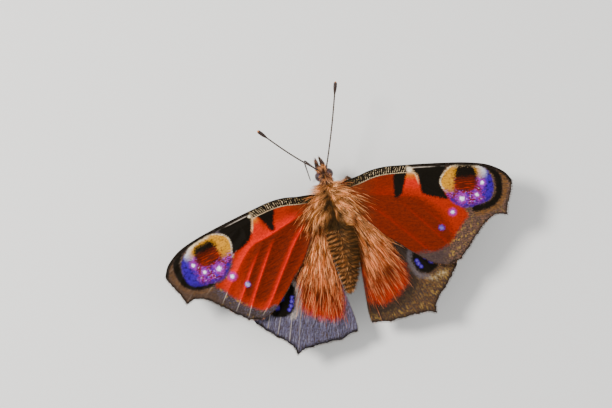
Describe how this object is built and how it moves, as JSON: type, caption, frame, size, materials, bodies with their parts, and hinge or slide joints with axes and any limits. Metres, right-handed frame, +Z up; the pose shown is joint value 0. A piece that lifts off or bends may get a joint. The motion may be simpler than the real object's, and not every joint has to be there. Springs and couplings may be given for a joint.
{
  "type": "butterfly",
  "caption": "Life-size peacock butterfly standing on its legs with its wings spread flat, its feelers forward and its tongue let down.",
  "frame": {"origin": "middle of the model's outline seen from above, on the floor that the feet stand on", "axes": "+Z up, +Y the way the head points, +X the butterfly's right side"},
  "size_m": [0.0626, 0.0448, 0.0177],
  "materials": {
    "body": "hairy, olive and black-brown with long orange-brown hair",
    "eye": "dark grey-violet, finely faceted, soft gloss",
    "feeler": "dark brown, ringed, with pale club tips",
    "tongue": "dark brown horn, satin",
    "leg": "brown scales, matt",
    "forewing": "scaled, mahogany red with an eye spot, black, yellow and blue marks and a brown border",
    "hindwing": "scaled, orange-brown with a black and blue eye spot and a grey-brown border"
  },
  "bodies": {
    "root": {"head": "body", "eye_left": "eye", "eye_right": "eye", "palp_left": "body", "palp_right": "body", "antenna_left": "feeler", "antenna_right": "feeler", "proboscis": "tongue", "thorax": "body", "abdomen": "body", "foreleg_left": "leg", "foreleg_right": "leg", "leg_mid_left": "leg", "leg_mid_right": "leg", "leg_hind_left": "leg", "leg_hind_right": "leg", "forewing_left": "forewing", "forewing_right": "forewing", "hindwing_left": "hindwing", "hindwing_right": "hindwing"}
  },
  "joints": []
}
